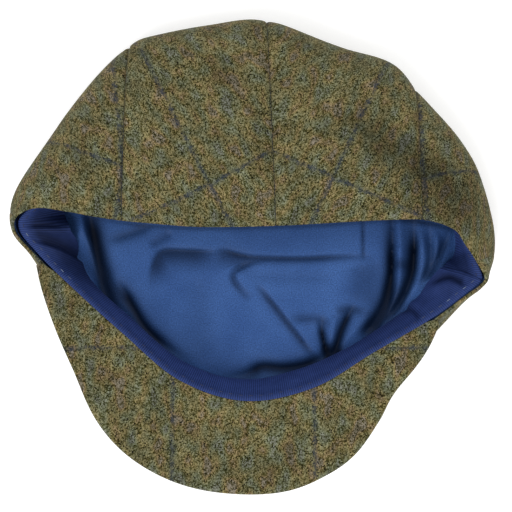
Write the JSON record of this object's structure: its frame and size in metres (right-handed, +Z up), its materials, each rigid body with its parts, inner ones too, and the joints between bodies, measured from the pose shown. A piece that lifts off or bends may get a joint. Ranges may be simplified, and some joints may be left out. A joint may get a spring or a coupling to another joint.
{
  "type": "tweed flat cap",
  "caption": "Soft cloth cap lying upside down on its crown: panelled crown, stiff curved peak, ribbon sweatband and satin lining round an open head hollow.",
  "frame": {"origin": "bottom centre of the box round the cap, on the surface under the flattened crown", "axes": "+Z up out of the mouth as the cap lies upside down; -Y towards the peak; +Y towards the back seam; +X the side at the right when the peak points at the viewer from above"},
  "size_m": [0.2704, 0.2623, 0.0466],
  "materials": {
    "tweed": "matte woollen cloth",
    "satin": "satin",
    "grosgrain": "fine ribbed ribbon"
  },
  "bodies": {
    "root": {"crown_panel_1": "tweed", "crown_panel_2": "tweed", "crown_panel_3": "tweed", "crown_panel_4": "tweed", "crown_panel_5": "tweed", "crown_panel_6": "tweed", "crown_panel_7": "tweed", "crown_panel_8": "tweed", "lining": "satin", "sweatband": "grosgrain", "peak": "tweed"}
  },
  "joints": []
}
